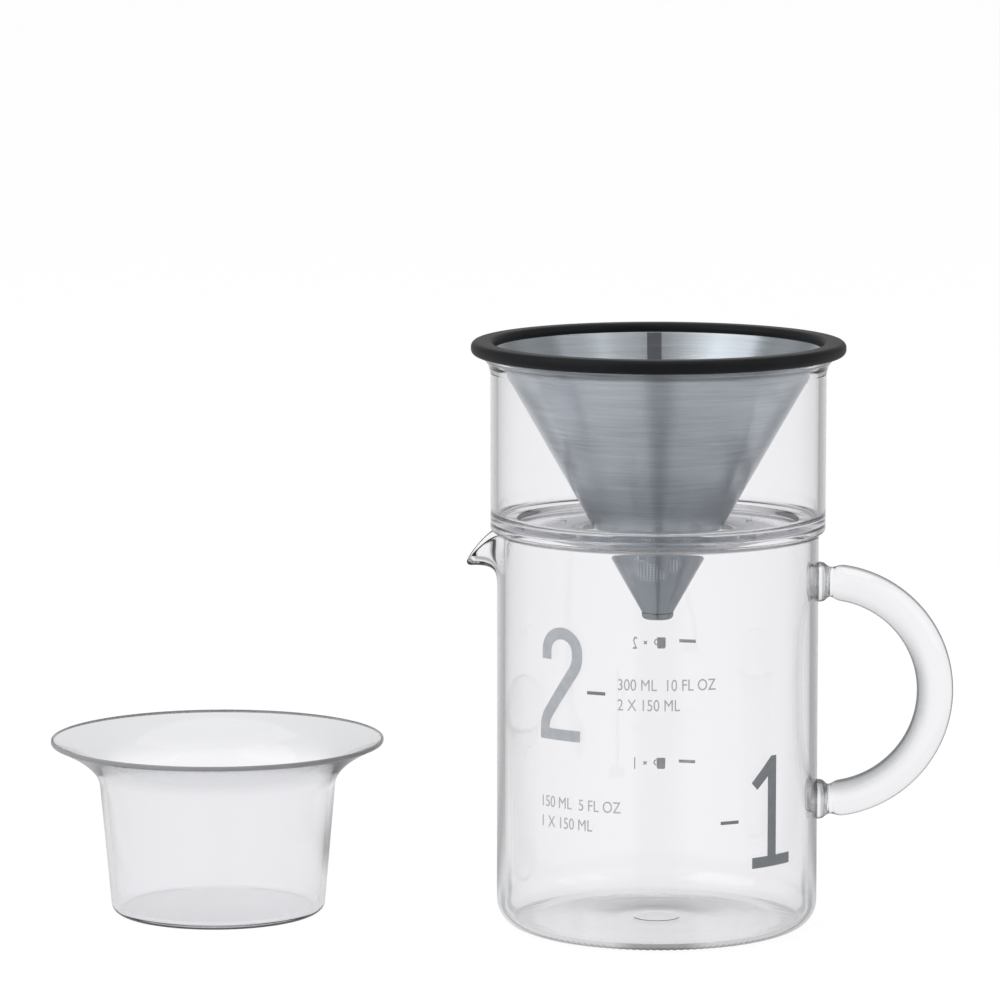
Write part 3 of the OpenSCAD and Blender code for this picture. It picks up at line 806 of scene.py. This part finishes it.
# a flat print cut into narrow upright slices, wrapped round the wall and given the ink's thickness
def wrapPrint(piece, start):
    clearSelection()
    piece.select_set(True)
    bpy.context.view_layer.objects.active = piece
    xs = [vert.co.x / mm for vert in piece.data.vertices]
    bpy.ops.object.mode_set(mode="EDIT")
    cut = math.floor(min(xs) / marks["slice"]) + 1
    while cut * marks["slice"] < max(xs):
        bpy.ops.mesh.select_all(action="SELECT")
        bpy.ops.mesh.bisect(plane_co=(cut * marks["slice"] * mm, 0, 0), plane_no=(1, 0, 0))
        cut += 1
    bpy.ops.object.mode_set(mode="OBJECT")
    radius = (jug["radius"] + marks["lift"]) * mm
    for vert in piece.data.vertices:
        turn = start + vert.co.x / (jug["radius"] * mm)
        vert.co = Vector((radius * math.sin(turn), -radius * math.cos(turn), vert.co.z))
    faceOut()
    face = piece.data.polygons[0]
    ink = piece.modifiers.new("ink", "SOLIDIFY")
    ink.thickness, ink.offset = marks["thick"] * mm, 1 if face.normal.dot(face.center.xy.to_3d()) > 0 else -1
    bpy.ops.object.modifier_apply(modifier=ink.name)
    return piece


def printOutlines(name, outlines, start=0):
    shapes = []
    for index, outline in enumerate(outlines):
        piece = walkOutline(f"{name}.{index}", [(spot.x, spot.y, 0) for spot in outline], closed=True)
        bpy.ops.mesh.select_all(action="SELECT")
        bpy.ops.mesh.edge_face_add()
        bpy.ops.object.mode_set(mode="OBJECT")
        shapes.append(piece)
    clearSelection()
    for piece in shapes:
        piece.select_set(True)
    bpy.context.view_layer.objects.active = shapes[0]
    if len(shapes) > 1:
        bpy.ops.object.join()
    shapes[0].name = shapes[0].data.name = name
    return wrapPrint(shapes[0], start)


# a row of plain figures, made into a mesh and set upright before it is wrapped
def printRow(name, row, left, base, size, narrow, start=0):
    clearSelection()
    bpy.ops.object.text_add(location=(0, 0, 0))
    piece = bpy.context.object
    piece.data.body, piece.data.size = row, size * mm
    bpy.ops.object.convert(target="MESH")
    piece = bpy.context.object
    piece.name = piece.data.name = name
    for vert in piece.data.vertices:
        vert.co = Vector((left * mm + vert.co.x * narrow, 0, base * mm + vert.co.y))
    return wrapPrint(piece, start)


paleInk, darkInk, rearInk = [inkFinish(shade + "Ink", inkLook[shade], inkLook) for shade in ("pale", "dark", "rear")]
dress(printOutlines("upperMark", [numeralTwo()]), "jug", None, paleInk)
dress(printOutlines("lowerMark", [numeralOne()]), "jug", None, darkInk)
dress(printOutlines("upperDash", [dashOutline(marks["upperDash"])]), "jug", None, darkInk)
dress(printOutlines("lowerDash", [dashOutline(marks["lowerDash"])]), "jug", None, darkInk)
for place in ("upper", "lower"):
    left, base = marks[place + "Caption"]
    for index, row in enumerate(marks[place + "Rows"]):
        dress(printRow(f"{place}Row.{index}", row, left, base - index * marks["captionStep"],
                       marks["captionSize"], marks["captionNarrow"]), "jug", None, paleInk)
for place in ("upper", "lower"):  # small marks on the far side, read from behind
    low = marks[place + "Rear"]
    dress(printRow(place + "RearDigit", marks[place + "Digit"], marks["rearDigit"], low, marks["rearSize"],
                   marks["rearNarrow"], math.pi), "jug", None, rearInk)
    signs = [crossOutline(marks["rearCross"], low + marks["crossHigh"]),
             dashOutline((*marks["rearDash"], low + marks["rearDashHigh"])), *cupOutlines(*marks["rearCup"], low)]
    dress(printOutlines(place + "RearSigns", signs, math.pi), "jug", None, rearInk)


# Stage: pale floor, lit backdrop, soft lamps, camera
stage = {
    "floorSize": 30.0, "floorGap": 0.02, "floorGlow": 0.94, "floorDiffuse": 0.12, "ambient": 0.5, "skyShare": 0.8,
    "rightDim": 0.08, "topDim": 0.4, "topFrom": 0.3, "topTo": 0.8,
    "studio": ((0.0, 0.36), (0.06, 0.38), (0.11, 0.7), (0.68, 0.74), (0.78, 0.4), (0.83, 0.45), (0.89, 0.67),
               (0.945, 0.87), (1.0, 1.0)),  # how bright it is all round: 0 by the camera, 1 behind the object
    "lamps": (  # name, place, aim, size, power
        ("leftSoftbox", (-0.9, -0.5, 0.7), (0, 0, 0.08), (1.2, 1.2), 5.0),
        ("rightSoftbox", (0.9, -0.4, 0.6), (0, 0, 0.08), (0.8, 0.8), 1.6),
        ("topSoftbox", (-0.05, 0.1, 1.2), (-0.05, 0, 0), (1.4, 1.0), 4.0)),
    "cameraFrom": (-40.6, -1500, 313.9), "cameraAt": (-40.6, 0, 110.5), "lens": 212.0, "sensor": 36}


# what a ray finds: white seen straight or straight through glass, the studio's lit and darker sides in reflections
def studioLight(flow, place, share=1.0):
    across = flow.node("ShaderNodeSeparateXYZ", {}, {"Vector": place})
    turn = flow.math("ARCTAN2", across, 0 - across.other("Y"))
    level = flow.node("ShaderNodeValToRGB", {"stops": stage["studio"]},
                      {"Fac": flow.math("ABSOLUTE", turn) / math.pi})
    level = level * (1 - flow.math("SINE", turn) * stage["rightDim"])
    level = level * (1 - across.other("Z").ease(stage["topFrom"], stage["topTo"]) * stage["topDim"]) * share
    camera = flow.node("ShaderNodeLightPath")
    shown = flow.math("MAXIMUM", camera.other("Is Glossy Ray"), camera.other("Is Transmission Ray"))
    straight = 1 - flow.math("MINIMUM", camera.other("Glossy Depth"), 1)
    ambient = stage["ambient"] * share
    lit = ambient + shown * (level + straight * (1 - level) - ambient)
    return lit + camera * (1 - lit)


def makeFloor():
    clearSelection()
    bpy.ops.mesh.primitive_plane_add(size=stage["floorSize"], location=(0, 0, -stage["floorGap"] * mm))
    floor = bpy.context.object
    floor.name = "floor"
    finish, flow = newFinish("floorPaper")
    coords = flow.node("ShaderNodeTexCoord", out="Object")
    lit = flow.node("ShaderNodeBsdfDiffuse", {}, {"Color": (*[stage["floorDiffuse"]] * 3, 1)})
    glow = flow.node("ShaderNodeEmission", {}, {"Strength": studioLight(flow, coords) * stage["floorGlow"]})
    both = flow.node("ShaderNodeAddShader", {}, {0: lit, 1: glow})
    flow.node("ShaderNodeOutputMaterial", {}, {"Surface": both})
    floor.data.materials.append(finish)


def makeWorld():
    world = bpy.data.worlds.new("studio")
    bpy.context.scene.world = world
    world.use_nodes = True
    world.node_tree.nodes.clear()
    flow = Flow(world.node_tree)
    coords = flow.node("ShaderNodeTexCoord", out="Generated")
    sky = flow.node("ShaderNodeBackground", {}, {
        "Color": (1, 1, 1, 1), "Strength": studioLight(flow, coords, stage["skyShare"])})
    flow.node("ShaderNodeOutputWorld", {}, {"Surface": sky})


def addLamp(name, place, aim, size, power):
    clearSelection()
    turn = (Vector(aim) - Vector(place)).to_track_quat("-Z", "Y").to_euler()
    bpy.ops.object.light_add(type="AREA", location=place, rotation=turn)
    lamp = bpy.context.object
    lamp.name = name
    lamp.data.shape, lamp.data.size, lamp.data.size_y = "RECTANGLE", size[0], size[1]
    lamp.data.energy = power


def makeCamera():
    place, aim = Vector(stage["cameraFrom"]) * mm, Vector(stage["cameraAt"]) * mm
    tilt = math.atan2(place.z - aim.z, aim.y - place.y)
    bpy.ops.object.camera_add(location=place, rotation=(math.pi / 2 - tilt, 0, 0))
    camera = bpy.context.object
    camera.data.lens, camera.data.sensor_width = stage["lens"], stage["sensor"]
    bpy.context.scene.camera = camera


makeFloor()
makeWorld()
for lamp in stage["lamps"]:
    addLamp(*lamp)
makeCamera()
bpy.context.scene.view_settings.view_transform = "Standard"
print("stage ready")
